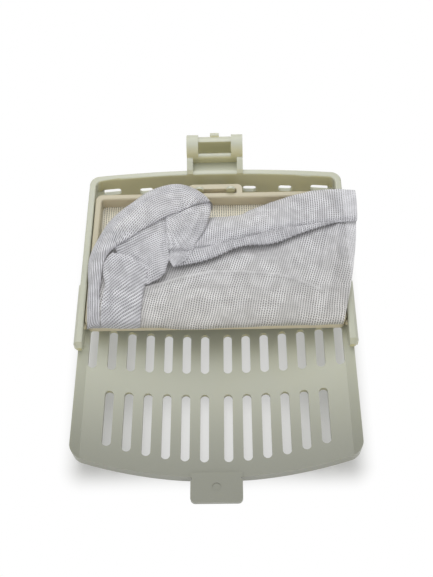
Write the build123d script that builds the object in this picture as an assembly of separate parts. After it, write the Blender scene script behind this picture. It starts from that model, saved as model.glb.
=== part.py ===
"""Washing machine lint filter: slotted cover, hinged net frame and net bag, lying on the cover's back."""

import math
import os

from build123d import *

# Sizes in mm. While drawing, x = 0 is the middle, y = 0 the top of the upper slots, z = 0 the trough's lowest line.

# Rim width and trough of the cover
RIM_HALF = 67.2
RIM_FACE = 3.4
TROUGH_R = 205.0
WALL = 2.2
APRON_STEP = 1.0
APRON_HALF = RIM_HALF - APRON_STEP
PANEL_BOTTOM = -73.2
BOTTOM_BOW = 7.6
CORNER_R = 6.0
SKIRT_DROP = 6.2
SKIRT_WALL = 2.0
FOOT_FLAT = 0.6

# Slots
SLOT_PITCH = 9.0
SLOT_FIRST = 5.62
SLOT_WIDTH = 4.2
UPPER_COUNT = 7
UPPER_LENGTH = 21.3
LOWER_COUNT = 6
LOWER_TOP = -32.3
LOWER_BOTTOM = -66.0
LOWER_BOW_R = 206.0

# Net frame, lying just clear of the trough's sides
FRAME_CLEAR = 0.5
FRAME_HALF = RIM_HALF - RIM_FACE - FRAME_CLEAR
FRAME_BAR = 3.2
FRAME_DEEP = 7.4
FRAME_FLOOR_CLEAR = 0.28
FRAME_LOW = TROUGH_R - math.sqrt(TROUGH_R**2 - FRAME_HALF**2) + FRAME_FLOOR_CLEAR
FRAME_HIGH = FRAME_LOW + FRAME_DEEP
FRAME_BOTTOM = -3.0
FRAME_TOP = 75.9
FRAME_CORNER = 3.5
FRAME_INNER_CORNER = 2.0
LOOP_HALF = 14.4
LOOP_BAR = 3.0
LOOP_GAP = 2.4
LOOP_THICK = 4.0
LOOP_CORNER = 2.8

# Rim and top wall
RIM_OVER_FRAME = 0.3
RIM_TOP = FRAME_HIGH + RIM_OVER_FRAME
RIM_DEPTH = 3.2
RIM_ROUND = 0.9
RIM_END = -12.0
PANEL_TOP = 91.4
TOP_BOW = 3.6
RIM_CORNER_R = 5.5
LIP_OVERHANG = 1.3
WATER_LEDGE = 2.8
WATER_HALF = RIM_HALF - RIM_FACE - WATER_LEDGE
WATER_START = 6.0
WINDOW_TALL = 5.0
WINDOW_ROUND = 1.6
WINDOWS = ((18.6, 7.2, 2.6), (38.0, 7.2, 3.6), (57.0, 10.6, 5.2))
FOOT_HALF = 45.0

# Side bars and the turned-up edge below them
BAR_R = 3.0
BAR_X = RIM_HALF - BAR_R + 1.0
BAR_Z = RIM_TOP - BAR_R
BAR_TOP = 20.5
NOSE = 2.4
EDGE_BAND = 4.2
EDGE_RISE = 1.9

# Latch
LATCH_HALF = 15.0
LATCH_WALL = 2.0
ARM_WIDE = 6.2
ARM_RISE = 1.1
LEG_Y = PANEL_TOP + 4.5
LEG_BEND_Z = RIM_TOP + 3.0
LEG_BEND_R = 8.0
CROWN_R = 5.0
OUTER_LEG_END = RIM_TOP - 12.0
LEDGE_FALL = 1.2
LEDGE_FOOT = RIM_TOP - 3.4
LATCH_BAR_R = 1.7
LATCH_BAR_Z = RIM_TOP + 3.7
LATCH_WINDOW_TOP = RIM_TOP + 9.7
EAR_WALL = 3.2
EAR_TOP = RIM_TOP + 4.2
BUMP_HALF = 2.4
BUMP_R = 1.6
BUMP_OUT = 3.2

# Bottom tab
TAB_HALF = 11.9
TAB_START = -71.0
TAB_END = -84.7
TAB_TOP = 0.9
TAB_THICK = 2.6
TAB_CORNER = 2.2
TAB_NOTCH = 1.2
EJECTOR_R = 2.1
EJECTOR_DEEP = 0.3

# Hinge and catch
HINGE_Y = FRAME_BOTTOM + FRAME_BAR / 2
HINGE_Z = FRAME_LOW + FRAME_DEEP / 2
PEG_R = 1.5
PEG_CLEAR = 0.05
PEG_REACH = 2.6
SOCKET_REACH = 2.5
POST_X = 8.3
POST_WIDE = 4.3
POST_CLEAR_FRAME = 0.35
POST_CLEAR_LOOP = 0.6
POST_TOP = RIM_TOP + 2.6
POST_ARM_LOW = 3.8
POST_ARM_THICK = 2.6

# Net bag
NET_WALL = 1.3
NET_OVER_RIM = 0.3
NET_LOW = FRAME_LOW + 2.7
NET_DECK = RIM_TOP - 0.6
NET_FOOT = RIM_TOP + 0.6
POUCH_Z = RIM_TOP + 3.0
HEM_Z = RIM_TOP + 7.2
HEM_FALL = 2.6
HEM_DEEP = 24.0
ROLL_Z = RIM_TOP + 13.0
TUCK_Z = RIM_TOP + 6.4
TUCK_FRONT = 16.0
TUCK_SLOPE = 0.13
NET_DRAWN_HALF = 63.3
FOLD_STEP = 5.5
FOLD_LEFT = -72.0
FOLD_FRONT = -9.0
FOLD_COLUMN_COUNT = 26
FOLD_ROW_COUNT = 17
GAP_SIZE = 2.4
GAP_PITCH = 4.6
GAP_COLUMNS = 13
GAP_ROWS = 5
GAP_FIRST = (-18.0, 3.2)


def trough_z(x):
    """Height of the trough's inner face at x."""
    return TROUGH_R - math.sqrt(TROUGH_R**2 - x**2)


def plan(half, bottom, bottom_bow, top, top_bow, bottom_round, top_round):
    """Panel outline: straight sides, bowed top and bottom edges, rounded corners."""
    edges = [
        ThreePointArc((-half, bottom + bottom_bow), (0, bottom), (half, bottom + bottom_bow)),
        Line((half, bottom + bottom_bow), (half, top - top_bow)),
        ThreePointArc((half, top - top_bow), (0, top), (-half, top - top_bow)),
        Line((-half, top - top_bow), (-half, bottom + bottom_bow)),
    ]
    face = make_face(edges)
    low = face.vertices().filter_by(lambda v: v.Y < 0)
    face = fillet(low, bottom_round)
    high = face.vertices().filter_by(lambda v: v.Y > bottom + bottom_bow + 30)
    return fillet(high, top_round)


def block(x0, x1, y0, y1, z0, z1):
    """Plain block between two corners."""
    return Pos((x0 + x1) / 2, (y0 + y1) / 2, (z0 + z1) / 2) * Box(x1 - x0, y1 - y0, z1 - z0)


def along_y(radius, y0, y1, x, z):
    """Round bar along Y."""
    return Pos(x, (y0 + y1) / 2, z) * Rot(90, 0, 0) * Cylinder(radius, y1 - y0)


def along_x(radius, x0, x1, y, z):
    """Round bar along X."""
    return Pos((x0 + x1) / 2, y, z) * Rot(0, 90, 0) * Cylinder(radius, x1 - x0)


def side_profile(points, half):
    """Solid across X from a closed outline of (y, z) points."""
    outline = Plane.YZ * make_face(Polyline(*points, close=True))
    return extrude(outline, amount=half, both=True)


def front_profile(points, y0, y1):
    """Solid along Y from a closed outline of (x, z) points."""
    face = make_face(Polyline(*[(x, y0, z) for x, z in points], close=True))
    return extrude(face, amount=y1 - y0, dir=(0, 1, 0))


def slot(x, y0, y1):
    """Upright cutter for one round-ended slot."""
    outline = Pos(x, (y0 + y1) / 2) * Rot(0, 0, 90) * SlotOverall(y1 - y0, SLOT_WIDTH)
    return extrude(Pos(0, 0, -10) * outline, amount=40)


# Slotted trough
outer_plan = plan(APRON_HALF, PANEL_BOTTOM, BOTTOM_BOW, PANEL_TOP - LIP_OVERHANG, TOP_BOW, CORNER_R, RIM_CORNER_R)
inner_plan = plan(
    APRON_HALF - SKIRT_WALL,
    PANEL_BOTTOM + SKIRT_WALL,
    BOTTOM_BOW,
    PANEL_TOP - RIM_FACE,
    TOP_BOW,
    CORNER_R - SKIRT_WALL,
    RIM_CORNER_R - SKIRT_WALL,
)
column = extrude(Pos(0, 0, -20) * outer_plan, amount=60)
core = extrude(Pos(0, 0, -20) * inner_plan, amount=60)
trough_face = along_y(TROUGH_R, -120, 140, 0, TROUGH_R)
trough_back = along_y(TROUGH_R + WALL, -120, 140, 0, TROUGH_R)
skirt_back = along_y(TROUGH_R + SKIRT_DROP, -120, 140, 0, TROUGH_R)
below_rim = block(-90, 90, -120, 140, -20, RIM_TOP)
trough = (column & trough_back & below_rim) - trough_face
trough -= block(-WATER_HALF, WATER_HALF, WATER_START, PANEL_TOP, -20, RIM_TOP)
skirt = ((column - core) & skirt_back & block(-90, 90, -120, RIM_END, -20, RIM_TOP)) - trough_face
cover = trough + skirt

# Slots in two rows, the lower ones following the bowed bottom edge
for i in range(UPPER_COUNT):
    x = SLOT_FIRST + i * SLOT_PITCH
    cover -= slot(x, -UPPER_LENGTH, 0)
    cover -= slot(-x, -UPPER_LENGTH, 0)
for i in range(LOWER_COUNT):
    x = SLOT_FIRST + i * SLOT_PITCH
    low = LOWER_BOTTOM + LOWER_BOW_R - math.sqrt(LOWER_BOW_R**2 - x**2)
    cover -= slot(x, low, LOWER_TOP)
    cover -= slot(-x, low, LOWER_TOP)

# Top wall with its water windows
wall_foot = [
    (-RIM_HALF, RIM_TOP - 1),
    (RIM_HALF, RIM_TOP - 1),
    (RIM_HALF, 8.0),
    (WATER_HALF + 2.2, 0.5),
    (FOOT_HALF, -SKIRT_DROP),
    (-FOOT_HALF, -SKIRT_DROP),
    (-WATER_HALF - 2.2, 0.5),
    (-RIM_HALF, 8.0),
]
top_wall = (column - core) & front_profile(wall_foot, 78, 100)
for x, wide, low in WINDOWS:
    window = extrude(RectangleRounded(wide, WINDOW_TALL, WINDOW_ROUND), amount=8, both=True)
    for side in (-1, 1):
        top_wall -= Pos(side * x, PANEL_TOP - RIM_FACE, low + WINDOW_TALL / 2) * Rot(90, 0, 0) * window
cover += top_wall

# Raised rim round the top and down both sides
rim_outer = plan(RIM_HALF, PANEL_BOTTOM, BOTTOM_BOW, PANEL_TOP, TOP_BOW, CORNER_R, RIM_CORNER_R)
rim_inner = plan(
    RIM_HALF - RIM_FACE,
    PANEL_BOTTOM,
    BOTTOM_BOW,
    PANEL_TOP - RIM_FACE,
    TOP_BOW,
    CORNER_R,
    RIM_CORNER_R - 2.0,
)
rim_half = block(-90, 90, RIM_END, 140, -20, 40)
rim = extrude(Pos(0, 0, RIM_TOP - RIM_DEPTH) * (rim_outer - rim_inner), amount=RIM_DEPTH) & rim_half
rim_edges = rim.edges().filter_by(lambda e: abs(e.center().Z - RIM_TOP) < 0.01 and e.center().Y > RIM_END + 0.5)
rim = fillet(rim_edges, RIM_ROUND)
cover += rim
for side in (-1, 1):
    near = side * (RIM_HALF - RIM_FACE)
    far = side * APRON_HALF
    wall_low = trough_z(RIM_HALF - RIM_FACE) - WALL / 2
    cover += block(min(near, far), max(near, far), RIM_END, PANEL_TOP - 9, wall_low, RIM_TOP - RIM_DEPTH / 2)

# Side bars with tapered noses, flush inside, and the turned-up edge below them
for side in (-1, 1):
    bar = along_y(BAR_R, RIM_END, BAR_TOP, side * BAR_X, BAR_Z)
    bar += Pos(side * BAR_X, RIM_END - NOSE / 2, BAR_Z) * Rot(90, 0, 0) * Cone(BAR_R, BAR_R / 2, NOSE)
    bar += block(side * BAR_X - BAR_R, side * BAR_X + BAR_R, RIM_END, BAR_TOP, trough_z(BAR_X), BAR_Z)
    flush = RIM_HALF - RIM_FACE
    bar &= block(min(side * flush, side * 80), max(side * flush, side * 80), -40, 40, 0, 40)
    cover += bar
    edge_in = APRON_HALF - EDGE_BAND
    band = [
        (side * edge_in, trough_z(edge_in) - 0.4),
        (side * APRON_HALF, trough_z(APRON_HALF) - 0.8),
        (side * APRON_HALF, trough_z(APRON_HALF) + EDGE_RISE),
        (side * edge_in, trough_z(edge_in) + 0.05),
    ]
    cover += front_profile(band, PANEL_BOTTOM, RIM_END + 1) & column

# Latch: ledge, inner leg, crown and outer leg in one bent strip, with two thicker arms and two ears
crown_y = LEG_Y + LEG_BEND_R
crown_z = LEG_BEND_Z + LEG_BEND_R - CROWN_R
leg_back = LEG_Y + ARM_RISE + LATCH_WALL


def latch_strip(inset):
    """Side view of the bent strip, its outer face set in and its inner face kept."""
    front = LEG_Y + inset
    bend = LEG_BEND_R - inset
    crown = CROWN_R - inset
    thick = LATCH_WALL + ARM_RISE - inset
    end = crown_y + crown
    path = [
        Line((front, LEDGE_FOOT), (front, LEG_BEND_Z)),
        CenterArc((crown_y, LEG_BEND_Z), bend, 90, 90),
        CenterArc((crown_y, crown_z), crown, 0, 90),
        Line((end, crown_z), (end, OUTER_LEG_END)),
        Line((end, OUTER_LEG_END), (end - thick, OUTER_LEG_END)),
        Line((end - thick, OUTER_LEG_END), (end - thick, crown_z)),
        CenterArc((crown_y, crown_z), crown - thick, 0, 90),
        CenterArc((crown_y, LEG_BEND_Z), bend - thick, 90, 90),
        Line((front + thick, LEG_BEND_Z), (front + thick, LEDGE_FOOT)),
        Line((front + thick, LEDGE_FOOT), (front, LEDGE_FOOT)),
    ]
    return Plane.YZ * make_face(path)


arm_in = LATCH_HALF - ARM_WIDE
latch = extrude(latch_strip(ARM_RISE), amount=arm_in, both=True)
latch -= block(-arm_in, arm_in, LEG_Y - 5, crown_y - 1, LATCH_BAR_Z, LATCH_WINDOW_TOP)
latch += along_x(LATCH_BAR_R, -arm_in, arm_in, LEG_Y + ARM_RISE + 0.3, LATCH_BAR_Z)
arm = extrude(latch_strip(0), amount=ARM_WIDE / 2, both=True)
for side in (-1, 1):
    latch += Pos(side * (LATCH_HALF - ARM_WIDE / 2), 0, 0) * arm
ear_in = LATCH_HALF - EAR_WALL
latch -= block(-ear_in, ear_in, LEG_Y - 1, LEG_Y + ARM_RISE, LEDGE_FOOT, LEG_BEND_Z - 0.4)
ledge = [
    (PANEL_TOP - RIM_FACE + 1, RIM_TOP),
    (leg_back - LATCH_WALL, RIM_TOP - LEDGE_FALL),
    (leg_back, RIM_TOP - LEDGE_FALL),
    (leg_back, LEDGE_FOOT),
    (PANEL_TOP - RIM_FACE + 1, LEDGE_FOOT),
]
latch += side_profile(ledge, LATCH_HALF)
ear = [
    (PANEL_TOP - RIM_FACE, RIM_TOP - 1.5),
    (PANEL_TOP - RIM_FACE, RIM_TOP + 0.4),
    (PANEL_TOP - RIM_FACE + 1.6, RIM_TOP + 1.8),
    (LEG_Y - 1.6, EAR_TOP),
    (LEG_Y + 0.5, EAR_TOP + 0.3),
    (LEG_Y + 0.5, RIM_TOP - 1.5),
]
for side in (-1, 1):
    latch += Pos(side * (LATCH_HALF - EAR_WALL / 2), 0, 0) * side_profile(ear, EAR_WALL / 2)
latch += along_x(BUMP_R, -BUMP_HALF, BUMP_HALF, crown_y + BUMP_OUT, crown_z + 0.9 * BUMP_OUT)
cover += latch

# Bottom tab with an ejector mark and two notches
tab_outline = Pos(0, (TAB_START + TAB_END) / 2) * Rectangle(2 * TAB_HALF, TAB_START - TAB_END)
tab_outline = fillet(tab_outline.vertices().filter_by(lambda v: v.Y < TAB_END + 1), TAB_CORNER)
tab = extrude(Pos(0, 0, TAB_TOP - TAB_THICK) * tab_outline, amount=TAB_THICK)
tab -= Pos(0, (TAB_START + TAB_END) / 2, TAB_TOP) * Cylinder(EJECTOR_R, 2 * EJECTOR_DEEP)
for side in (-1, 1):
    tab -= block(
        side * TAB_HALF - TAB_NOTCH / 2,
        side * TAB_HALF + TAB_NOTCH / 2,
        PANEL_BOTTOM - TAB_NOTCH,
        PANEL_BOTTOM,
        -10,
        10,
    )
cover += tab

# Catch posts on arms from the top wall
post_near = FRAME_TOP + POST_CLEAR_FRAME
post_far = FRAME_TOP + LOOP_GAP - POST_CLEAR_LOOP
for side in (-1, 1):
    x0 = side * POST_X - POST_WIDE / 2
    x1 = side * POST_X + POST_WIDE / 2
    post = block(x0, x1, post_near, post_far, POST_ARM_LOW, POST_TOP)
    post = fillet(post.edges().filter_by(Axis.Y).group_by(Axis.Z)[-1], POST_WIDE / 2 - 0.3)
    cover += post
    cover += block(x0, x1, post_near, PANEL_TOP - RIM_FACE + 0.5, POST_ARM_LOW, POST_ARM_LOW + POST_ARM_THICK)

# Flat feet under the skirt and the top wall
cover &= block(-90, 90, -120, 140, -SKIRT_DROP + FOOT_FLAT, 60)

# Hinge sockets in the side bars
for side in (-1, 1):
    mouth = RIM_HALF - RIM_FACE
    ends = sorted((side * (mouth - 1.0), side * (mouth + SOCKET_REACH)))
    cover -= along_x(PEG_R + PEG_CLEAR, ends[0], ends[1], HINGE_Y, HINGE_Z)

# Net frame: bars, loop and pegs
frame_mid = (FRAME_BOTTOM + FRAME_TOP) / 2
frame_long = FRAME_TOP - FRAME_BOTTOM
frame_outline = Pos(0, frame_mid) * RectangleRounded(2 * FRAME_HALF, frame_long, FRAME_CORNER)
mouth_half = FRAME_HALF - FRAME_BAR
mouth_bottom = FRAME_BOTTOM + FRAME_BAR
mouth_top = FRAME_TOP - FRAME_BAR
mouth_outline = Pos(0, frame_mid) * RectangleRounded(
    2 * mouth_half, frame_long - 2 * FRAME_BAR, FRAME_INNER_CORNER
)
frame = extrude(Pos(0, 0, FRAME_LOW) * (frame_outline - mouth_outline), amount=FRAME_DEEP)
swing_edge = frame.edges().filter_by(Axis.X).group_by(Axis.Y)[0].sort_by(Axis.Z)
frame = chamfer(swing_edge[0], 1.2)
top_edges = frame.edges().filter_by(lambda e: abs(e.center().Z - FRAME_HIGH) < 0.01)
frame = chamfer(top_edges, 0.5)
loop_reach = LOOP_GAP + LOOP_BAR
loop = Pos(0, FRAME_TOP + loop_reach / 2) * Rectangle(2 * LOOP_HALF, loop_reach)
loop = fillet(loop.vertices().filter_by(lambda v: v.Y > FRAME_TOP + 1), LOOP_CORNER)
loop -= Pos(0, FRAME_TOP + LOOP_GAP / 2) * Rectangle(2 * (LOOP_HALF - LOOP_BAR), LOOP_GAP)
loop = extrude(Pos(0, 0, FRAME_HIGH - LOOP_THICK) * loop, amount=LOOP_THICK)
loop_joins = block(-LOOP_HALF, -LOOP_HALF + LOOP_BAR, FRAME_TOP - 1, FRAME_TOP + 1, FRAME_HIGH - LOOP_THICK, FRAME_HIGH)
loop += loop_joins
loop += mirror(loop_joins, Plane.YZ)
frame += loop
for side in (-1, 1):
    ends = sorted((side * (FRAME_HALF - 0.5), side * (FRAME_HALF + PEG_REACH)))
    frame += along_x(PEG_R, ends[0], ends[1], HINGE_Y, HINGE_Z)


# Net bag
def smooth(t):
    """Zero to one, level at both ends."""
    t = min(max(t, 0.0), 1.0)
    return t * t * (3 - 2 * t)


def nearest(x, y, line):
    """Signed distance to a fold line, left of its run positive, and how far along it from 0 to 1."""
    best = None
    steps = len(line) - 1
    for i in range(steps):
        (ax, ay), (bx, by) = line[i], line[i + 1]
        dx, dy = bx - ax, by - ay
        t = min(max(((x - ax) * dx + (y - ay) * dy) / (dx * dx + dy * dy), 0.0), 1.0)
        away = math.hypot(x - ax - t * dx, y - ay - t * dy)
        if best is None or away < best[0]:
            side = 1.0 if dx * (y - ay) - dy * (x - ax) >= 0 else -1.0
            best = (away, side, (i + t) / steps)
    return best[0] * best[1], best[2]


wider = FRAME_HALF / NET_DRAWN_HALF
ROLL_LINE = (
    (-7, 63.5), (-14, 65.5), (-23, 64.5), (-36, 57), (-46, 48.5), (-53, 41), (-58, 30), (-59.5, 14), (-59, -2),
)
HEM_LINE = ((-20, 27), (-1, 31), (13, 38), (28, 40), (46, 47), (74, 54))
LOBE_EDGE = ((-55, 10), (-46, 12), (-36, 14.5), (-30, 16.5), (-25.5, 22), (-22.6, 30), (-24, 54))
TUCK_EDGE = ((-24, 54), (-22.6, 30), (-20, 25), (-13.5, 30), (-9.5, 39), (-3, 53), (-2, 61))


def net_top(x, y):
    """Height of the folded net: the sagging deck in the frame, the pouch, the hem fold, the roll and its tucks."""
    edge = min(mouth_top - y, x + mouth_half)
    x = x / wider
    deck = NET_LOW + (NET_DECK - NET_LOW) * smooth((edge - 1) / 16)
    pouch = POUCH_Z + 0.8 * smooth((x + 20) / 70) - 1.6 * smooth((3 - y) / 8)
    z = deck + (pouch - deck) * smooth((54 - y) / 12)
    far, along = nearest(x, y, HEM_LINE)
    hem = smooth(1 + far / 4) if far < 0 else max(1 - far / HEM_DEEP, 0)
    z = max(z, NET_DECK + (HEM_Z - HEM_FALL * along - NET_DECK) * hem)
    far, along = nearest(x, y, ROLL_LINE)
    reach = 3.2 + 7.6 * smooth(1.25 - abs(along - 0.31) / 0.36)
    if abs(far) < reach:
        crest = ROLL_Z - 8.5 * smooth((along - 0.3) / 0.7) - 3.0 * smooth(1 - along / 0.25)
        z = max(z, NET_FOOT + (crest - NET_FOOT) * math.sqrt(1 - (far / reach) ** 4))
    if far > 0:
        for line in (LOBE_EDGE, TUCK_EDGE):
            within, _ = nearest(x, y, line)
            tuck = TUCK_Z + TUCK_SLOPE * (y - TUCK_FRONT)
            z = max(z, NET_FOOT + (tuck - NET_FOOT) * smooth(1 + within / 3))
    return z


NET_OUTLINE = (
    (-61.4, -4.6), (-31, -6), (0, -5.4), (31, -5.4), (52, -5.6), (61.2, -4.6), (61.6, 5), (64.5, 13), (67, 30),
    (68.2, 45), (68.2, 74.5), (50, 74.8), (34, 69), (20, 63.6), (13.5, 60.4), (0, 58), (-1.8, 62), (-5, 67.5),
    (-13, 73.5), (-21.4, 75.8), (-34, 72.4), (-43.5, 65.6), (-52, 56), (-58, 46.5), (-62.3, 32), (-62.3, 13),
    (-61.5, 5),
)


def facet(*corners):
    """Flat face through its corners."""
    return Face(Wire.make_polygon([Vector(*c) for c in corners], close=True))


def folded_block(drop):
    """Block whose top is the folded net, lowered by drop, in small flat facets."""
    xs = [wider * (FOLD_LEFT + FOLD_STEP * i) for i in range(FOLD_COLUMN_COUNT + 1)]
    ys = [FOLD_FRONT + FOLD_STEP * j for j in range(FOLD_ROW_COUNT + 1)]
    top = [[(x, y, net_top(x, y) - drop) for y in ys] for x in xs]
    faces = []
    for left, right in zip(top, top[1:]):
        for a, b, c, d in zip(left, right, right[1:], left[1:]):
            faces.append(facet(a, b, c))
            faces.append(facet(a, c, d))
    feet = [(xs[0], ys[0], 0), (xs[-1], ys[0], 0), (xs[-1], ys[-1], 0), (xs[0], ys[-1], 0)]
    faces.append(facet(*feet))
    faces.append(facet(feet[0], feet[1], *[row[0] for row in reversed(top)]))
    faces.append(facet(feet[3], feet[2], *[row[-1] for row in reversed(top)]))
    faces.append(facet(feet[0], feet[3], *reversed(top[0])))
    faces.append(facet(feet[1], feet[2], *reversed(top[-1])))
    return Solid(Shell(faces))


folded = folded_block(0)
inside = folded_block(NET_WALL)
outline = [(wider * x, y) for x, y in NET_OUTLINE]
over_frame = extrude(Pos(0, 0, RIM_TOP + NET_OVER_RIM) * make_face(Polyline(*outline, close=True)), amount=30)
in_mouth = extrude(Pos(0, 0, FRAME_LOW) * mouth_outline, amount=30)
hollow = block(
    -mouth_half + NET_WALL, mouth_half - NET_WALL, mouth_bottom + NET_WALL, mouth_top - NET_WALL, 0, 40
)
bag = folded & (over_frame + in_mouth)
bag -= inside & hollow
gaps = []
for i in range(GAP_COLUMNS):
    for j in range(GAP_ROWS):
        x = GAP_FIRST[0] + i * GAP_PITCH
        y = GAP_FIRST[1] + j * GAP_PITCH
        gaps.append(block(x, x + GAP_SIZE, y, y + GAP_SIZE, POUCH_Z - 4, POUCH_Z + 12))
bag -= gaps

# Origin under the middle of the whole part
latch_end = crown_y + CROWN_R
place = Pos(0, -(latch_end + TAB_END) / 2, SKIRT_DROP - FOOT_FLAT)
os.makedirs("parts", exist_ok=True)
export_step(place * cover, "parts/grille_cover.step")
export_step(place * frame, "parts/net_frame.step")
export_step(place * bag, "parts/lint_bag.step")
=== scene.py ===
# %% [markdown]
# # A washing machine lint filter
# The real thing is a pale plastic cover with rows of slots, a small ivory frame hinged inside it, and a
# white net bag sewn to that frame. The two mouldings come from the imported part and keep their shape. This
# lesson dresses them in plastic, and builds the folded net as new surfaces.

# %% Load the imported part
import math

import bpy
import numpy as np
from mathutils import Matrix, Vector


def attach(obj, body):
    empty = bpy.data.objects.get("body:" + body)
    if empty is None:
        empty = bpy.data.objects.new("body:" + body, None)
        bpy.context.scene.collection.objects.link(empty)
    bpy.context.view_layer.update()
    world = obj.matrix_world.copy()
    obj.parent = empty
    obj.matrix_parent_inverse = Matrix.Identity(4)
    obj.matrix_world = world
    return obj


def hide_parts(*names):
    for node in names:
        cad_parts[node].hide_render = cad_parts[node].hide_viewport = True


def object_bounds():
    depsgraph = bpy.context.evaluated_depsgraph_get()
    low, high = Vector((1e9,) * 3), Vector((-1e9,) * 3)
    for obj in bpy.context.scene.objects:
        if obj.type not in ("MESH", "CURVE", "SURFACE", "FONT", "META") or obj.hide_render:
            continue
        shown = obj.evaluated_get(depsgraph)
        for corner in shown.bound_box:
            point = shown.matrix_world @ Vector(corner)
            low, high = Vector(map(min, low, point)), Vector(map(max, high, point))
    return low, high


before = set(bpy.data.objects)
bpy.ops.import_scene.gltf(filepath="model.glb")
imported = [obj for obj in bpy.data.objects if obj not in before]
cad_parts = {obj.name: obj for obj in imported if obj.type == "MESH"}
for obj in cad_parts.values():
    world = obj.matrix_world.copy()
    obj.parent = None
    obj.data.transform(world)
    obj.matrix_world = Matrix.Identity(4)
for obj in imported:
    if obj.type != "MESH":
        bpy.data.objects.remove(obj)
cad_low, cad_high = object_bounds()
print("part box, mm:", [round(1000 * v, 1) for v in (*cad_low, *cad_high)])

# %% [markdown]
# ## The drawing's zero
# Sizes below are in millimetres from the drawing's own zero: the top of the upper slots, on the lowest line
# of the trough. One small function moves them to the part's origin and turns them into metres.

# %% From the drawing to the part
DRAWING_SHIFT = np.array([0.0, -12.1, 5.6])


def to_part(points):
    """Adds the shift to millimetre points and divides by a thousand."""
    return (np.asarray(points, float) + DRAWING_SHIFT) / 1000.0


# %% [markdown]
# ## Writing shaders as sums
# A material is a web of nodes. Drawing every wire by hand hides the idea, so one small class wraps a
# socket: sums and products of two of them add Math nodes, and one method adds any other node.


# %% A socket that can be added and multiplied
class Shade:
    """One output socket of a material's node tree."""

    def __init__(self, tree, socket=None):
        self.tree = tree
        self.socket = socket

    def node(self, kind, settings=None, inputs=None, out=0):
        """Adds a node with settings, then values or links for its sockets; gives the named output."""
        made = self.tree.nodes.new(kind)
        for key, value in (settings or {}).items():
            setattr(made, key, value)
        for key, value in (inputs or {}).items():
            if isinstance(value, Shade):
                self.tree.links.new(value.socket, made.inputs[key])
            else:
                made.inputs[key].default_value = value
        return Shade(self.tree, made.outputs[out])

    def maths(self, operation, *others):
        """A Math node on this value and the others."""
        return self.node("ShaderNodeMath", {"operation": operation}, dict(enumerate((self, *others))))

    def __add__(self, other):
        return self.maths("ADD", other)

    def __mul__(self, other):
        return self.maths("MULTIPLY", other)

    def __sub__(self, other):
        return self.maths("SUBTRACT", other)

    def __rsub__(self, other):
        return self.node("ShaderNodeMath", {"operation": "SUBTRACT"}, {0: other, 1: self})

    __radd__ = __add__
    __rmul__ = __mul__

    def between(self, low, high):
        """Nought at low, one at high, with soft ends."""
        settings = {"interpolation_type": "SMOOTHSTEP"}
        return self.node("ShaderNodeMapRange", settings, {"Value": self, "From Min": low, "From Max": high})

    def mix(self, first, second):
        """A colour between two, by this value."""
        inputs = {"Factor": self, 6: first, 7: second}
        return self.node("ShaderNodeMix", {"data_type": "RGBA"}, inputs, out=2)


# %% Colours
def rgb(red, green, blue):
    """A colour as seen on screen, 0 to 255, turned into linear light."""
    seen = np.array([red, green, blue]) / 255.0
    linear = np.where(seen <= 0.04045, seen / 12.92, ((seen + 0.055) / 1.055) ** 2.4)
    return (*[float(v) for v in linear], 1.0)


print("middle grey in linear light:", round(rgb(128, 128, 128)[0], 3))


# %% New materials and their sockets
def new_finish(name):
    """A new material, its tree as a Shade, and its main shader."""
    material = bpy.data.materials.new(name)
    material.use_nodes = True
    shader = material.node_tree.nodes["Principled BSDF"]
    return material, Shade(material.node_tree), shader


def feed(shader, **links):
    """Links varying values to the shader's sockets, named with underscores for blanks."""
    for key, value in links.items():
        value.tree.links.new(value.socket, shader.inputs[key.replace("_", " ")])


def fix(shader, constants):
    """Sets the sockets that don't vary."""
    for key, value in constants.items():
        shader.inputs[key].default_value = value


def noise(tree, scale, detail):
    """Smooth noise on the object's own coordinates, a half on average."""
    place = tree.node("ShaderNodeTexCoord", out="Object")
    return tree.node("ShaderNodeTexNoise", inputs={"Vector": place, "Scale": scale, "Detail": detail})


# %% [markdown]
# ## Moulded plastic
# Both mouldings look like polypropylene: satin, a little cloudy, with a fine moulding grain. Faces turned to
# the tab get a painted glow, a warmer and lighter colour for light coming through the thin walls. Towards the
# tab the colour is painted greyer, a painted shade for the light falling off at that end. A slow noise makes
# the cloudiness and a fine one the grain.

# %% The plastic finish
CLOUD_SCALE, GRAIN_SCALE = 38.0, 1500.0
PAINTED_GLOW_FROM, PAINTED_GLOW_FULL = 0.35, 1.0
TAB_SHADE_FROM, TAB_SHADE_FULL = 0.02, 0.09
PAINTED_GLOW_BY_FACE, WARM_BY_CLOUD = 0.9, 0.4
ROUGH_BY_CLOUD, ROUGH_BY_GRAIN = 0.14, 0.08
PLASTIC_CONSTANTS = {
    "Subsurface Weight": 0.12,
    "Subsurface Radius": (0.004, 0.004, 0.0025),
    "Subsurface Scale": 0.6,
    "IOR": 1.49,
}


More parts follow.
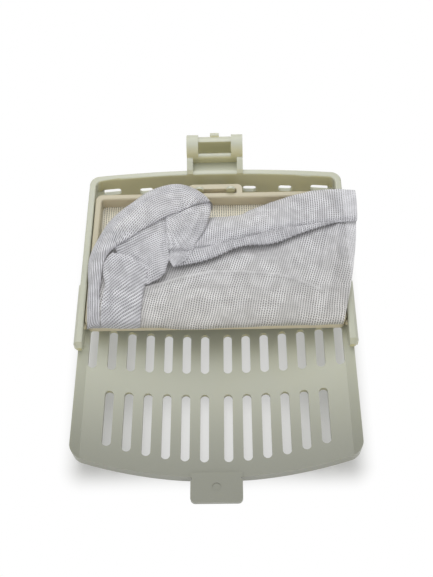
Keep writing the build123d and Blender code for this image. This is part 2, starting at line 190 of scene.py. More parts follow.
def moulded_plastic(name, clear, painted_glow, painted_tab_shade, gloss):
    """Plastic: slow cloud, painted glow on faces turned to -Y, painted shade towards the tab, fine grain in
    the bump.
    """
    material, tree, shader = new_finish(name)
    place = tree.node("ShaderNodeTexCoord", out="Object")
    turned = tree.node("ShaderNodeTexCoord", out="Normal")
    facing = tree.node("ShaderNodeSeparateXYZ", inputs={0: turned}, out="Y")
    along = tree.node("ShaderNodeSeparateXYZ", inputs={0: place}, out="Y")
    cloud = noise(tree, CLOUD_SCALE, 3.0)
    grain = noise(tree, GRAIN_SCALE, 2.0)
    # Painted glow: faces turned to -Y get a warmer, lighter colour that stands in for light through the thin
    # walls
    painted_glow_mask = (0 - facing).between(PAINTED_GLOW_FROM, PAINTED_GLOW_FULL)
    glow_and_cloud = (painted_glow_mask * PAINTED_GLOW_BY_FACE + (cloud - 0.5) * WARM_BY_CLOUD).maths("MAXIMUM", 0.0)
    # Painted shade: the colour greys towards the tab, standing in for light that falls off at that end
    tab_shade_mask = (0 - along).between(TAB_SHADE_FROM, TAB_SHADE_FULL)
    feed(shader, Base_Color=tab_shade_mask.mix(glow_and_cloud.mix(clear, painted_glow), painted_tab_shade))
    feed(shader, Roughness=gloss + (cloud - 0.5) * ROUGH_BY_CLOUD + (grain - 0.5) * ROUGH_BY_GRAIN)
    bump = {"Height": grain, "Strength": 0.1, "Distance": 0.0002}
    feed(shader, Normal=tree.node("ShaderNodeBump", inputs=bump))
    fix(shader, PLASTIC_CONSTANTS)
    return material


# %% Plastic on both mouldings
# Colour in the light, painted glow on faces turned to the tab, painted shade near the tab, then the roughness
GREEN = (rgb(201, 203, 185), rgb(220, 214, 170), rgb(152, 153, 140), 0.34)
IVORY = (rgb(200, 192, 166), rgb(238, 226, 198), rgb(170, 164, 144), 0.38)
for node, name, look in (("grille_cover", "cover_plastic", GREEN), ("net_frame", "frame_plastic", IVORY)):
    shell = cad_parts[node].data
    shell.materials.clear()
    shell.materials.append(moulded_plastic(name, *look))
    print(name, "on", node)

# %% [markdown]
# ## Knitted net
# The bag looks like warp-knitted nylon: glossy ribs a little over a millimetre apart, laced together by
# finer zigzag threads, with open gaps between. The threads could be modelled, but there are thousands of
# them. So the pattern is drawn on the cloth's own map, which is laid out in millimetres, and the ribs follow
# every fold. The gaps are painted grey at part opacity, a painted shade for the dark seen through the holes.
# In loose patches the weave blurs to an even veil. Two attributes of the mesh vary it: "cream" is the
# yellowed net in the frame's mouth, with a browner painted shade in its gaps, and "sewn" is the close-set
# thread of a seam.

# %% The net finish
RIB_PITCH, LACE_PITCH = 1.2, 1.25
RIB_DRIFT, LACE_DRIFT, LACE_SWING = 3.6, 2.0, 1.2
RIB_EDGES, LACE_EDGES = (0.1, 0.85), (0.4, 0.95)
DRIFT_SCALE, PATCH_SCALE, LOOSE_SCALE = 150.0, 170.0, 70.0
LACE_RANGE, LACE_LEAST, LACE_GAIN = (0.35, 0.65), 0.55, 0.4
VEIL_RANGE, VEIL_SHARE, VEIL_THREAD = (0.36, 0.58), 0.5, 0.75
PATCH_RANGE = (0.36, 0.64)
SEAM_THREAD = 0.85
GAP_ALPHA = 0.6
GAP_ROUGHNESS, THREAD_GLOSS = 0.5, 0.1
DULL_NET, BRIGHT_NET, CREAM_NET = rgb(207, 207, 211), rgb(231, 231, 235), rgb(236, 231, 211)
# Painted shade: gaps between threads are grey, browner in the mouth, standing in for the dark seen through
# the holes
GAP_PAINTED_SHADE, MOUTH_GAP_PAINTED_SHADE = rgb(150, 149, 155), rgb(138, 130, 108)
FULL_TURN = 2 * math.pi


def knitted_net(name):
    """Net: cosine ribs across the map, zigzag lacing along it, and thin gaps between the threads painted grey
    as shade.
    """
    material, tree, shader = new_finish(name)
    spread = tree.node("ShaderNodeUVMap", {"uv_map": "net"})
    across = tree.node("ShaderNodeSeparateXYZ", inputs={0: spread}, out="X")
    along = tree.node("ShaderNodeSeparateXYZ", inputs={0: spread}, out="Y")
    cream = tree.node("ShaderNodeAttribute", {"attribute_name": "cream"}, out="Fac")
    sewn = tree.node("ShaderNodeAttribute", {"attribute_name": "sewn"}, out="Fac")
    drift = noise(tree, DRIFT_SCALE, 2.0)
    patch = noise(tree, PATCH_SCALE, 3.0)
    loose = noise(tree, LOOSE_SCALE, 2.0)
    rib = (across * (FULL_TURN / RIB_PITCH) + drift * RIB_DRIFT).maths("COSINE") * 0.5 + 0.5
    swing = (across * (FULL_TURN / (2 * RIB_PITCH))).maths("SINE") * LACE_SWING
    lace = (along * (FULL_TURN / LACE_PITCH) + swing + drift * LACE_DRIFT).maths("COSINE") * 0.5 + 0.5
    laced = loose.between(*LACE_RANGE) * LACE_GAIN + LACE_LEAST
    thread = rib.between(*RIB_EDGES).maths("MAXIMUM", lace.between(*LACE_EDGES) * laced)
    veil = (1 - loose.between(*VEIL_RANGE)) * VEIL_SHARE
    thread = thread + veil * (VEIL_THREAD - thread)
    thread = thread.maths("MAXIMUM", sewn * SEAM_THREAD)
    white = cream.mix(patch.between(*PATCH_RANGE).mix(DULL_NET, BRIGHT_NET), CREAM_NET)
    feed(shader, Base_Color=thread.mix(cream.mix(GAP_PAINTED_SHADE, MOUTH_GAP_PAINTED_SHADE), white))
    feed(shader, Alpha=thread * (1 - GAP_ALPHA) + GAP_ALPHA)
    feed(shader, Roughness=GAP_ROUGHNESS - thread * THREAD_GLOSS)
    bump = {"Height": thread, "Strength": 0.3, "Distance": 0.00015}
    feed(shader, Normal=tree.node("ShaderNodeBump", inputs=bump))
    fix(shader, {"Sheen Weight": 0.15, "Sheen Roughness": 0.4})
    return material


net_cloth = knitted_net("net_cloth")
print("net ribs every", RIB_PITCH, "mm")

# %% [markdown]
# ## Laying cloth through a net of points
# A fold is easiest to describe by a few rows of points: the row where the cloth lies on the frame, the row
# over the crest, the row at the edge. Catmull-Rom weights then carry a smooth sheet through all of them.
# Small waves and creases are added along the sheet's own normal, and its map takes the lengths along the
# sheet in millimetres.


# %% A smooth sheet through rows of points
def weights_through(count, samples):
    """Catmull-Rom blends: each sample weights four neighbouring points by cubics of its place."""
    place = np.linspace(0, count - 1, samples)
    first = np.minimum(place.astype(int), count - 2)
    part = (place - first)[:, None]
    cubic = np.concatenate(
        [
            -part + 2 * part**2 - part**3,
            2 - 5 * part**2 + 3 * part**3,
            part + 4 * part**2 - 3 * part**3,
            -(part**2) + part**3,
        ],
        axis=1,
    )
    near = np.clip(first[:, None] + np.arange(-1, 3), 0, count - 1)
    weights = np.zeros((samples, count))
    np.add.at(weights, (np.arange(samples)[:, None], near), cubic / 2)
    return weights


def sheet_through(rows, along, across):
    """A grid of points: the rows, blended by one set of weights down and by another across."""
    down = weights_through(len(rows), along)
    sideways = weights_through(rows.shape[1], across)
    return np.einsum("ar,rcx,bc->abx", down, rows, sideways)


print("weights half way between two points:", weights_through(4, 3)[1])


# %% Lengths and normals of a sheet
def run_lengths(sheet, axis):
    """Length along one direction of a sheet, summed from step to step."""
    steps = np.linalg.norm(np.diff(sheet, axis=axis, prepend=np.take(sheet, [0], axis)), axis=2)
    return np.cumsum(steps, axis=axis)


def sheet_normals(sheet):
    """Cross product of the two directions of a sheet, at unit length."""
    normal = np.cross(np.gradient(sheet, axis=1), np.gradient(sheet, axis=0))
    return normal / np.maximum(np.linalg.norm(normal, axis=2, keepdims=True), 1e-9)


# %% Creases beside a line
def beside_line(sheet, line, width):
    """A bell beside a line of drawing points, seen from above: one on it, down to 1/e at the width."""
    flat = sheet[..., :2]
    nearest = np.full(flat.shape[:2], np.inf)
    for start, end in zip(np.array(line[:-1], float), np.array(line[1:], float)):
        run = end - start
        part = np.clip((flat - start) @ run / (run @ run), 0, 1)
        nearest = np.minimum(nearest, np.linalg.norm(flat - start - part[..., None] * run, axis=2))
    return np.exp(-((nearest / width) ** 2))


# %% One sheet with its map
COARSE = 40
FEWEST = 12
EDGE_FADE = 8


def lay_sheet(rows, step, waves=(), turn=0.0, creases=(), seams=(), cream=(0.0, 0.0)):
    """Sheet through rows of points, about a step apart and facing up, with its map and its two attributes.

    Waves are (height, cycles across, cycles along, phase), creases are (height, width, line) and seams are
    (width, line). Turn spins the map by degrees. Cream tints the first and last row, blended between them.
    """
    rows = np.asarray(rows, float)
    coarse = sheet_through(rows, COARSE, COARSE)
    if sheet_normals(coarse)[..., 2].mean() < 0:
        rows = rows[:, ::-1]
    across = int(max(FEWEST, run_lengths(coarse, 1)[:, -1].mean() / step))
    along = int(max(FEWEST, run_lengths(coarse, 0)[-1].mean() / step))
    sheet = sheet_through(rows, along, across)
    v, u = np.meshgrid(np.linspace(0, 1, along), np.linspace(0, 1, across), indexing="ij")
    inner = np.clip(EDGE_FADE * v * (1 - v), 0, 1) * np.clip(EDGE_FADE * u * (1 - u), 0, 1)
    lift = np.zeros_like(u)
    for height, sideways, down, phase in waves:
        lift += height * np.sin(FULL_TURN * (sideways * u + down * v) + phase) * inner
    for height, width, line in creases:
        lift += height * beside_line(sheet, line, width)
    sewn = np.zeros_like(u)
    for width, line in seams:
        sewn += beside_line(sheet, line, width)
    sheet = sheet + sheet_normals(sheet) * lift[..., None]
    map_u, map_v = run_lengths(sheet, 1), run_lengths(sheet, 0)
    cos, sin = math.cos(math.radians(turn)), math.sin(math.radians(turn))
    spread = np.stack([map_u * cos - map_v * sin, map_u * sin + map_v * cos], axis=2)
    return sheet, spread, cream[0] * (1 - v) + cream[1] * v, np.minimum(sewn, 1.0)


# %% [markdown]
# ## The bag's folds
# The bag is sewn round the deep inner edge of the frame and lies collapsed on top of it. From below upwards
# there are: the net in the frame's mouth, the flat pouch over the hinge end, the hem folded across it with
# its gathered edge, and on the left a thick roll with three folds hanging from its ridge. A cloth simulation
# could drop such folds, but it wouldn't drop them where the real ones lie. So each fold is a sheet of its
# own, with its own small waves and its own rib direction.

# %% A place to keep the folds
SHEETS = {}


def fold(name, rows, **how):
    """Lays one sheet through its rows and keeps it under its name."""
    SHEETS[name] = lay_sheet(rows, **how)
    along, across = SHEETS[name][0].shape[:2]
    print(name, "sheet:", along, "by", across, "points")


# %% [markdown]
# ### Net in the frame's mouth
# A sheet of yellowed net fills the mouth below the folds. A flat plane would do from afar. A low swell is
# used, because net that is sewn in loosely doesn't lie flat.

# %% Net in the frame's mouth
mouth_rows = [
    [(-59.9, 72.5, 10.8), (-30, 72.5, 10.8), (0, 72.5, 10.8), (30, 72.5, 10.8), (59.9, 72.5, 10.8)],
    [(-59.9, 69, 11.0), (-30, 69, 11.4), (0, 69, 11.4), (30, 69, 11.4), (59.9, 69, 11.0)],
    [(-59.9, 60, 11.2), (-30, 60, 12.6), (0, 60, 12.8), (30, 60, 12.6), (59.9, 60, 11.4)],
    [(-59.9, 48, 11.4), (-30, 48, 15), (0, 48, 15.4), (30, 48, 15), (59.9, 48, 12.6)],
    [(-59.9, 25, 11.4), (-30, 25, 16), (0, 25, 16.4), (30, 25, 16), (59.9, 25, 14)],
    [(-59.9, 0.6, 10.8), (-30, 0.6, 10.8), (0, 0.6, 10.8), (30, 0.6, 10.8), (59.9, 0.6, 10.8)],
]
fold("mouth", mouth_rows, step=1.0, waves=[(0.25, 3, 2, 0.4)], cream=(1.0, 1.0))

# %% [markdown]
# ### Pouch over the hinge end
# The front of the bag lies flat over the frame and rolls over the hinge bar. The rows run from that bar
# upwards, and the right edge hangs over the rim. A sewn seam arches across the pouch and a fold runs down
# its right side. Both are lines that lift the cloth beside them, which is simpler than more rows.

# %% Pouch over the hinge end
pouch_rows = [
    [(-60.5, -3.2, 15.2), (-40, -3.3, 15), (-6, -3.3, 14.4), (35, -3.3, 15), (61, -3.2, 15.4)],
    [(-61, -4.2, 17.8), (-36, -4.6, 17.8), (-6, -5.6, 17.4), (35, -4.5, 17.7), (61.3, -4.2, 17.8)],
    [(-61, -3.6, 20), (-36, -3.9, 20.4), (-6, -4.8, 20.2), (35, -3.8, 20.4), (61.6, -3.4, 20.2)],
    [(-60.5, 2, 21.6), (-36, 1, 21.8), (0, 2, 21.6), (36, 1, 21.8), (63, 2, 20.6)],
    [(-60, 14, 22), (-36, 13, 21.8), (0, 13, 22), (38, 12, 22.2), (66, 14, 20.2)],
    [(-58, 28, 21.6), (-36, 26, 21.4), (0, 26, 21.8), (40, 26, 22.2), (68.8, 28, 20.4)],
    [(-56, 40, 20.6), (-36, 38, 20.2), (2, 38, 20.4), (42, 42, 21.2), (71, 42, 20.8)],
    [(-54, 52, 19.2), (-34, 50, 19), (4, 50, 19), (44, 56, 19.6), (72.3, 54.5, 20.6)],
]
POUCH_SEAM = ((-36, 14.5), (-16, 21), (-1, 23.4), (14, 23), (32, 20.8), (42, 17.6), (52, 12.6))
POUCH_SIDE = ((63, 51), (59.5, 29), (56, 13.5), (52.8, 4))
POUCH_FOLDS = (
    (0.85, 1.0, POUCH_SEAM),
    (1.2, 2.2, POUCH_SIDE),
    (-0.5, 1.6, ((57.5, 48), (53.5, 28), (49, 12))),
    (0.45, 1.5, ((-30, 5), (-8, 9), (16, 8), (44, 3))),
    (-0.4, 1.2, ((-34, 10), (-12, 14.5), (14, 14), (40, 9))),
    (0.5, 1.8, ((14, 34), (30, 30), (46, 33))),
)
POUCH_WAVES = ((0.3, 2.2, 1.3, 0.6), (0.16, 5, -2, 1.8), (0.1, 9, 4, 0.7))
SEAM_WIDTH = 0.9
fold(
    "pouch",
    pouch_rows,
    step=0.6,
    waves=POUCH_WAVES,
    turn=8,
    creases=POUCH_FOLDS,
    seams=[(SEAM_WIDTH, POUCH_SEAM)],
    cream=(0.45, 0.0),
)

# %% [markdown]
# ### Hem folded across the pouch
# The open end of the bag has a wide hem, folded across the pouch. One sheet over a crest is enough, because
# its lower layer can't be seen.

# %% Hem folded across the pouch
hem_rows = [
    [
        (-22, 50, 19.4), (-2.1, 57.6, 19.4), (13.5, 60, 19.2), (28, 67, 19.2), (42, 72, 19.2),
        (58, 75.2, 19.4), (73.2, 73.8, 19.8),
    ],
    [
        (-22, 48.5, 21.4), (-2, 56, 21.6), (13.6, 58.4, 21.4), (28, 65, 21.2), (42.4, 69.8, 21),
        (58, 73.4, 21), (73.4, 72.4, 21.2),
    ],
    [
        (-21.5, 43, 23.8), (-2, 49.5, 24.4), (14.5, 52.5, 24.4), (29, 57.5, 24), (44, 61.5, 23.4),
        (59, 65, 22.8), (73.3, 65, 22.2),
    ],
    [
        (-21, 37, 25.2), (-3.6, 39.8, 25.6), (14.2, 44.4, 25.6), (29, 48.8, 25.2), (45, 52.2, 24.6),
        (60, 55, 23.6), (72.8, 56, 22.6),
    ],
    [
        (-20.5, 34.4, 24.5), (-4, 37, 24.8), (14, 41.8, 24.8), (29, 46, 24.4), (45, 49.6, 23.8),
        (60, 52.5, 22.9), (72.6, 53.4, 22),
    ],
]
HEM_WAVES = ((0.3, 3.5, 1.2, 0.2), (0.18, 8, 1.4, 1.0), (0.1, 13, -2, 2.2))
fold("hem", hem_rows, step=0.6, waves=HEM_WAVES)

# %% [markdown]
# ### Gathered edge below the hem's stitches
# Below the hem's stitches the net is gathered into small pleats. The rows give the rounded edge, and a sine
# wave along it gives the pleats, which would be slow to place by hand.

# %% Gathered edge below the hem's stitches
gather_rows = [
    [
        (-20.5, 34.6, 24.3), (-4, 37.2, 24.6), (14, 42, 24.6), (29, 46.2, 24.2), (45, 49.8, 23.6),
        (60, 52.7, 22.8), (72.6, 53.6, 21.9),
    ],
    [
        (-20.4, 32.6, 25.1), (-4, 35.4, 25.3), (13.8, 40.6, 25.2), (29, 44.6, 24.8), (45, 48.8, 24.1),
        (60, 52.3, 23), (72.5, 53.3, 22.2),
    ],
    [
        (-20.2, 27.4, 24.9), (-4, 30.8, 25.1), (13.3, 38.2, 24.9), (29, 40.2, 24.5), (45, 46.6, 23.8),
        (60, 51.7, 22.8), (72.4, 52.9, 22.2),
    ],
    [
        (-20.1, 25.6, 24.1), (-4, 29.2, 24.3), (13.1, 37, 24.1), (29, 38.8, 23.7), (45, 45.6, 23.1),
        (60, 51.2, 22.3), (72.3, 52.7, 21.9),
    ],
    [
        (-20.2, 27, 23), (-4, 30.4, 23.1), (13.1, 38.2, 22.9), (29, 40, 22.6), (45, 46.8, 22.2),
        (60, 52, 21.7), (72.2, 53.2, 21.5),
    ],
    [
        (-20.5, 33, 22.3), (-4, 36, 22.4), (13.2, 44, 22.2), (29, 46, 21.9), (45, 52, 21.5), (60, 56, 21.2),
        (72, 57, 21),
    ],
]
PLEATS = 42
PLEAT_HEIGHT = 0.28
fold("gather", gather_rows, step=0.5, waves=[(PLEAT_HEIGHT, PLEATS, 0.4, 0.0)])

# %% [markdown]
# ### Thick roll on the left
# On the left the cloth is bunched into a thick roll. Its rows go round the roll, and its columns follow it
# from the top of the frame down to the hinge bar, where it runs over the edge.

# %% Thick roll on the left
roll_rows = [
    [
        (-1.6, 61.5, 20.5), (-4, 66.6, 19), (-12.4, 72.8, 18.8), (-21.3, 75, 18.8), (-33.4, 71.2, 18.8),
        (-42.8, 64.4, 18.8), (-51.4, 55, 18.8), (-57, 45.8, 18.8), (-61.8, 31.6, 18.9), (-61.4, 14.2, 18.9),
        (-60.6, -2.6, 17.6), (-60.4, -3.8, 17.2),
    ],
    [
        (-1, 62.2, 24), (-4, 67.8, 23.6), (-12.6, 74.4, 23.4), (-21.4, 76.6, 23.4), (-34, 73, 23.4),
        (-43.6, 65.8, 23.4), (-52.4, 56.2, 23), (-58, 46.6, 22.6), (-63, 32, 21.8), (-62.6, 14.4, 21),
        (-61.4, -4, 19.4), (-61, -4.6, 17.6),
    ],
    [
        (-1.6, 62.6, 27), (-5, 66.2, 28.4), (-12.2, 70.4, 29), (-20.6, 72.2, 29.4), (-32, 68.2, 29.4),
        (-41, 61.2, 28.8), (-49.4, 52.2, 27.8), (-55.6, 43.4, 26.6), (-60.6, 31, 25), (-60.6, 14.2, 23.6),
        (-59.6, -3.6, 21.4), (-59.4, -4.9, 18),
    ],
    [
        (-2.4, 62, 28.8), (-6, 63.6, 30.6), (-11.8, 65.2, 31), (-19.4, 65.4, 31.4), (-29.4, 61, 31.2),
        (-37.8, 54.4, 30.2), (-46, 46.4, 29), (-52.6, 39.6, 27.6), (-57.6, 29.6, 25.8), (-58, 14.2, 24.2),
        (-57.4, -2.8, 21.8), (-57.2, -4.9, 18.2),
    ],
    [
        (-2.6, 62.2, 27.8), (-7, 60.6, 29.3), (-12.5, 57.8, 29.8), (-19.5, 54.6, 30), (-27, 51, 29.6),
        (-34.7, 46, 29), (-42.5, 41.2, 27.8), (-49.5, 36.6, 26.6), (-54.6, 29.5, 25), (-55.6, 14.2, 23.4),
        (-55.4, -2.2, 21.4), (-55, -4.8, 18),
    ],
    [
        (-3.4, 62.6, 26), (-8, 62, 27.2), (-13.6, 59.8, 27.4), (-20.6, 57, 27.6), (-28, 53.4, 27),
        (-35.8, 48.2, 26.4), (-43.6, 43, 25.2), (-50.6, 37.8, 24.2), (-55.8, 30.2, 23), (-56.8, 14.2, 22),
        (-56.6, -1.6, 20.4), (-55.6, -4.2, 17.4),
    ],
]
ROLL_FOLDS = (
    (-0.5, 1.2, ((-8, 65), (-20, 61), (-32, 54), (-44, 45), (-53, 37))),
    (0.4, 1.6, ((-14, 70), (-26, 68), (-38, 59), (-48, 49))),
    (-0.35, 1.3, ((-40, 62), (-50, 51), (-57, 40), (-60, 26))),
)
ROLL_WAVES = ((0.3, 3, 1.5, 0.5), (0.16, 6, 3, 2.0))
fold("roll", roll_rows, step=0.6, waves=ROLL_WAVES, turn=90, creases=ROLL_FOLDS)

# %% [markdown]
# ### Front fold with its pointed flap
# At the roll's front end the cloth is tucked under, with a pointed flap below. The outer columns and the
# last row turn down, so that the fold has a thick edge and not a paper one.

# %% Front fold with its pointed flap
tuck_rows = [
    [
        (-26, 53.5, 26.8), (-25, 53.8, 28.4), (-19.5, 57, 28.8), (-12.5, 60, 28.6), (-6.5, 62, 28),
        (-2.2, 62.6, 26.4), (-2.8, 62.2, 24),
    ],
    [
        (-24.6, 50, 27), (-24, 50.5, 29.2), (-18, 52.6, 29.4), (-12, 54.4, 29.2), (-6.6, 55.6, 28),
        (-2.4, 55.6, 26.6), (-2.8, 55.2, 24),
    ],
    [
        (-24.4, 43, 26.4), (-23.8, 43.2, 28), (-18.4, 44.8, 28), (-13.4, 46.4, 27.9), (-9, 47, 27.4),
        (-5.4, 46.4, 26.4), (-5.6, 46, 24),
    ],
    [
        (-24.2, 36.4, 25.6), (-23.6, 36.5, 26.9), (-19.6, 37.4, 27.1), (-16, 38.2, 27.1),
        (-12.6, 38.8, 26.8), (-9.4, 38.9, 26.2), (-9.6, 38.6, 24),
    ],
    [
        (-23.2, 33.2, 25), (-22.6, 33.2, 26.1), (-19.8, 33.4, 26.1), (-17, 33.5, 26.1), (-14, 33.5, 25.9),
        (-11.1, 33.4, 25.6), (-11.3, 33.3, 24),
    ],
    [
        (-22.8, 30.4, 24.8), (-22.3, 30.4, 25.9), (-20, 29.6, 26.2), (-17.6, 29.4, 26.2),
        (-15.2, 29.4, 25.9), (-13.2, 29.7, 25.4), (-13.4, 29.8, 24),
    ],
    [
        (-21.6, 27.2, 24.6), (-21.4, 27, 25.3), (-20.3, 25.2, 25.3), (-19.4, 25.4, 25.3), (-18.4, 26, 25.2),
        (-17.4, 26.7, 25), (-17.6, 27, 24),
    ],
    [
        (-21.4, 28.2, 24), (-21.2, 28, 24), (-20.3, 26.6, 24), (-19.4, 26.8, 24), (-18.4, 27.2, 24),
        (-17.4, 27.6, 24), (-17.6, 27.8, 24),
    ],
]
TUCK_FOLDS = (
    (0.55, 1.0, ((-7, 55), (-10.5, 47), (-14, 40))),
    (-0.4, 1.0, ((-22, 51.5), (-13, 53), (-5, 54))),
    (-1.0, 0.9, ((-23, 33.6), (-13, 33.6))),
)
TUCK_WAVES = ((0.25, 1.5, 2.2, 0.9), (0.14, 3, -3, 0.3))
fold("tuck", tuck_rows, step=0.5, waves=TUCK_WAVES, turn=80, creases=TUCK_FOLDS)

# %% [markdown]
# ### Middle fold with its round edge
# Between the roll and the pouch hangs a fold with a round lower edge. Its last two rows turn under, as
# cloth does there. Creases pull it in beside its two neighbours.

# %% Middle fold with its round edge
lobe_rows = [
    [(-23, 54.5, 29), (-29, 51, 28.8), (-35.5, 46.6, 28), (-43, 41.8, 26.8), (-50, 37, 25.8)],
    [(-23.6, 47, 27.6), (-28.5, 42.5, 27.2), (-34.5, 38, 26.6), (-41, 34.4, 25.8), (-47.5, 31.2, 25)],
    [(-23.4, 40, 27), (-27.8, 34, 26.8), (-33.4, 29.4, 26.4), (-39, 27.2, 25.6), (-45, 25, 24.8)],
    [(-22.8, 33.5, 26.3), (-27, 26.6, 26.3), (-32.4, 22.4, 25.8), (-37.6, 21, 25), (-43, 19.4, 24.4)],
    [(-22.4, 29.8, 25.6), (-25.6, 22, 25.4), (-31, 17.6, 25), (-36, 17, 24.4), (-42, 15, 23.8)],
    [(-22.5, 29, 24.6), (-25.4, 20.9, 24.4), (-30.8, 16.6, 24), (-36, 16, 23.4), (-42, 14, 23)],
    [(-23.4, 31, 23.2), (-26.6, 23.4, 23), (-31.4, 19.4, 22.8), (-36.4, 19, 22.6), (-42, 17, 22.4)],
]
LOBE_FOLDS = (
    (-0.5, 1.2, ((-27, 47), (-33, 41), (-41, 36.5), (-50, 34))),
    (0.4, 1.4, ((-26, 40), (-30, 30), (-31, 21))),
    (-0.4, 1.2, ((-34, 36), (-33, 28), (-34, 20))),
    (-0.8, 1.1, ((-25.6, 51), (-25.3, 43), (-25, 36), (-24, 31))),
    (-0.7, 1.0, ((-51, 35), (-44.6, 33.2), (-38.6, 29.6), (-33, 25.6))),
)
LOBE_WAVES = ((0.25, 2.2, 0.8, 0.4), (0.14, 5, 2.6, 1.1))
fold("lobe", lobe_rows, step=0.5, waves=LOBE_WAVES, turn=100, creases=LOBE_FOLDS)

# %% [markdown]
# ### Lower fold lying over the pouch's corner
# The lowest fold lies over the pouch's corner and runs down over the hinge bar. Its ribs lie aslant, which
# the turn of its map gives.

# %% Lower fold lying over the pouch's corner
corner_rows = [
    [(-51, 34, 24.8), (-44.6, 32, 25.4), (-38.6, 28.4, 25.4), (-33.6, 24.4, 24.8), (-33, 24, 23.6)],
    [(-51.2, 33, 26.2), (-45, 31, 26.9), (-39.2, 27.4, 26.9), (-34, 23.8, 26.3), (-33.2, 23.4, 24.4)],
    [(-54.4, 28.6, 25.4), (-47.4, 26.4, 26.5), (-40.4, 23.6, 26.5), (-33.8, 21, 25.9), (-33, 20.8, 24.2)],
    [(-55, 22.6, 24.7), (-48.2, 20.8, 25.7), (-41, 18.8, 25.7), (-34.4, 17, 25.2), (-33.6, 16.8, 23.6)],
    [(-53.6, 16.4, 24.1), (-48, 14.4, 24.7), (-41.4, 13.4, 24.8), (-35.2, 13.6, 24.4), (-34.4, 13.4, 22.8)],
    [(-54.4, 9.5, 23.2), (-48, 8.6, 24.1), (-41.6, 8.2, 24.2), (-35.8, 8.6, 23.8), (-35, 8.5, 22.2)],
    [(-54.8, 3, 22.4), (-48.2, 2.4, 23.4), (-42, 2.2, 23.5), (-36.2, 2.6, 23.1), (-35.5, 2.6, 21.9)],
    [(-54.8, -3.2, 21.2), (-48.4, -3.6, 21.9), (-42.2, -3.8, 22), (-36.4, -3.6, 21.7), (-35.8, -3.4, 20.8)],
    [(-54.8, -4.8, 18.4), (-48.4, -5.3, 18.4), (-42.4, -5.5, 18.4), (-36.6, -5.3, 18.4), (-36, -5.1, 18.2)],
]
CORNER_FOLDS = (
    (-0.5, 1.2, ((-53, 27), (-51.5, 18), (-51, 2))),
    (0.4, 1.4, ((-46, 29), (-42, 20), (-41, 4))),
)
fold("corner", corner_rows, step=0.5, waves=[(0.2, 1.8, 1.2, 0.4)], turn=34, creases=CORNER_FOLDS)

# %% [markdown]
# ## One bag from eight sheets
# The folds are one piece of cloth on the real bag, so they become one mesh with one map. Eight objects would
# look the same, but the bag then couldn't be picked up as one sheet.


# %% Join them into one mesh
def sheet_faces(shape, first):
    """Four corners of every cell of a grid, counted on from the first vertex."""
    index = first + np.arange(shape[0] * shape[1]).reshape(shape[0], shape[1])
    return np.stack([index[:-1, :-1], index[:-1, 1:], index[1:, 1:], index[1:, :-1]], axis=2).reshape(-1, 4)


grids, spreads, creams, sewns = zip(*SHEETS.values())
sizes = [grid.shape[0] * grid.shape[1] for grid in grids]
starts = np.concatenate([[0], np.cumsum(sizes)[:-1]])
corners = np.concatenate([to_part(grid).reshape(-1, 3) for grid in grids])
places = np.concatenate([spread.reshape(-1, 2) for spread in spreads])
faces = np.concatenate([sheet_faces(grid.shape, first) for grid, first in zip(grids, starts)])
bag_mesh = bpy.data.meshes.new("folded_net_bag")
bag_mesh.from_pydata(corners, [], faces.tolist())
net_map = bag_mesh.uv_layers.new(name="net")
net_map.data.foreach_set("uv", places[faces.reshape(-1)].astype(np.float32).reshape(-1))
for name, parts in (("cream", creams), ("sewn", sewns)):
    values = np.concatenate([part.reshape(-1) for part in parts])
    bag_mesh.attributes.new(name, "FLOAT", "POINT").data.foreach_set("value", values.astype(np.float32))
bag_mesh.polygons.foreach_set("use_smooth", np.ones(len(faces), bool))
bag_mesh.materials.append(net_cloth)
bag_mesh.update()
print("bag mesh:", len(corners), "points in", len(SHEETS), "sheets")

# %% The bag as an object
bag = bpy.data.objects.new("folded_net_bag", bag_mesh)
bpy.context.scene.collection.objects.link(bag)
area = sum(p.area for p in bag_mesh.polygons)
print("bag:", len(faces), "cells,", round(area * 1e4, 1), "square cm of net")
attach(bag, "net")
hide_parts("lint_bag")

# %% [markdown]
# ## A white table
# The picture's background is pure white. A floor that only takes light would come out grey, so towards the
# camera it also glows. Near the part it glows less and keeps the shadow. Below the outer slots it glows
# least, a painted shade for the part's shadow on the floor there. The world behind it is white in the same
# way.


# %% Rays that show the backdrop
def seen_directly(tree):
    """One for rays that show a surface straight, mirrored or through glass; nought for rays that light it."""
    seen = tree.node("ShaderNodeLightPath", out="Is Camera Ray")
    for ray in ("Is Glossy Ray", "Is Transmission Ray"):
        seen = seen.maths("MAXIMUM", tree.node("ShaderNodeLightPath", out=ray))
    return seen


# %% Pale floor
FLOOR_REACH = 2.0
floor_mesh = bpy.data.meshes.new("pale_floor")
floor_corners = [(FLOOR_REACH * x, FLOOR_REACH * y, 0) for x, y in ((-1, -1), (1, -1), (1, 1), (-1, 1))]
floor_mesh.from_pydata(floor_corners, [], [(0, 1, 2, 3)])
floor = bpy.data.objects.new("pale_floor", floor_mesh)
bpy.context.scene.collection.objects.link(floor)
print("floor", 2 * FLOOR_REACH, "m wide")

# %% The floor's finish
WHITE = (1.0, 1.0, 1.0, 1.0)
SIDE_SHARE, END_SHARE = 0.9, 0.8
SHADOW_FADE = 0.014
MIDDLE_GLOW, OUTER_PAINTED_SHADE = 0.5, 0.28
OUTER_SHADE_FROM, OUTER_SHADE_FULL = 0.02, 0.058
floor_finish, floor_tree, floor_shader = new_finish("pale_floor")
fix(floor_shader, {"Base Color": (0.9, 0.9, 0.88, 1.0), "Roughness": 0.9})
ground = floor_tree.node("ShaderNodeTexCoord", out="Object")
beside, along = (
    floor_tree.node("ShaderNodeSeparateXYZ", inputs={0: ground}, out=axis).maths("ABSOLUTE") for axis in "XY"
)
past_side = (beside - SIDE_SHARE * cad_high[0]).maths("MAXIMUM", 0.0)
past_end = (along - END_SHARE * cad_high[1]).maths("MAXIMUM", 0.0)
away = (past_side * past_side + past_end * past_end).maths("SQRT").between(0.0, SHADOW_FADE)
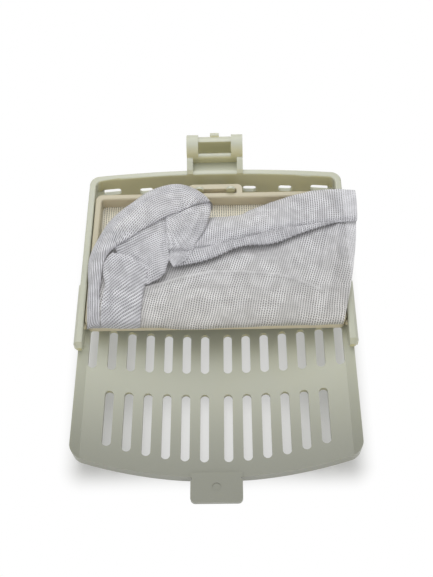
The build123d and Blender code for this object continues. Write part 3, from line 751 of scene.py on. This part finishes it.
white_sheet = floor_tree.node("ShaderNodeEmission", inputs={"Color": WHITE, "Strength": 1.0})
lit_floor = Shade(floor_tree.tree, floor_shader.outputs[0])
# Painted shade: below the outer slots the floor glows less, standing in for the part's shadow there
shaded_floor_glow = MIDDLE_GLOW - beside.between(OUTER_SHADE_FROM, OUTER_SHADE_FULL) * OUTER_PAINTED_SHADE
pale = seen_directly(floor_tree) * (shaded_floor_glow + away * (1 - shaded_floor_glow))
mixed = floor_tree.node("ShaderNodeMixShader", inputs={0: pale, 1: lit_floor, 2: white_sheet})
floor_tree.tree.links.new(mixed.socket, floor_finish.node_tree.nodes["Material Output"].inputs["Surface"])
floor_mesh.materials.append(floor_finish)
print("the floor glows", MIDDLE_GLOW, "below the middle of the part")

# %% [markdown]
# ## Light and camera
# The picture has the soft light of a bright room: top faces are light, and faces towards the tab are dark.
# Most of it comes from the world. A wide lamp above the latch end gives it a direction, a small one behind
# puts a shine on the upper edges, and a weak one in front lifts the dark faces. The camera's place was
# worked out from the rows of slots, which are evenly spaced on the part.

# %% Soft light of the room
ROOM_LIGHT = 0.53
world = bpy.data.worlds.new("studio")
world.use_nodes = True
backdrop = world.node_tree.nodes["Background"]
backdrop.inputs["Color"].default_value = WHITE
feed(backdrop, Strength=seen_directly(Shade(world.node_tree)) * (1 - ROOM_LIGHT) + ROOM_LIGHT)
bpy.context.scene.world = world
print("room light", ROOM_LIGHT)


# %% Lamps
def soft_lamp(name, place, aim, size, power):
    """Square area lamp at a place, turned to its aim."""
    lamp = bpy.data.lights.new(name, "AREA")
    lamp.size = size
    lamp.energy = power
    holder = bpy.data.objects.new(name, lamp)
    holder.location = place
    holder.rotation_euler = (Vector(aim) - Vector(place)).to_track_quat("-Z", "Y").to_euler()
    bpy.context.scene.collection.objects.link(holder)


# Place and aim, then size in metres and power in watts
LAMPS = {
    "window": ((-0.05, 0.15, 0.34), (0, 0.02, 0.02), 0.36, 0.48),
    "shine": ((-0.02, 0.30, 0.31), (0, 0.05, 0.02), 0.12, 0.16),
    "room": ((0.15, -0.6, 0.22), (0, 0, 0.02), 0.5, 0.3),
}
for name, setting in LAMPS.items():
    soft_lamp(name, *setting)
print("lamps:", ", ".join(LAMPS))

# %% Camera
CAMERA_PLACE = (10.1, -189.3, 362.5)
ELEVATION, SWING, ROLL = (math.radians(angle) for angle in (59.134, 2.631, -3.216))
FOCAL_PX, PICTURE_HIGH_PX, SENSOR_MM = 814.7, 577, 36
flat = math.cos(ELEVATION)
back = Vector((math.sin(SWING) * flat, -math.cos(SWING) * flat, math.sin(ELEVATION)))
level = Vector((math.cos(SWING), math.sin(SWING), 0.0))
upward = back.cross(level)
right = level * math.cos(ROLL) + upward * math.sin(ROLL)
upward = upward * math.cos(ROLL) - level * math.sin(ROLL)
camera_data = bpy.data.cameras.new("camera")
camera_data.lens = FOCAL_PX / PICTURE_HIGH_PX * SENSOR_MM
camera = bpy.data.objects.new("camera", camera_data)
facing = Matrix((right, upward, back)).transposed().to_4x4()
camera.matrix_world = Matrix.Translation(to_part(CAMERA_PLACE).tolist()) @ facing
bpy.context.scene.collection.objects.link(camera)
bpy.context.scene.camera = camera
bpy.context.scene.view_settings.view_transform = "Standard"
print("lens", round(camera_data.lens, 1), "mm")
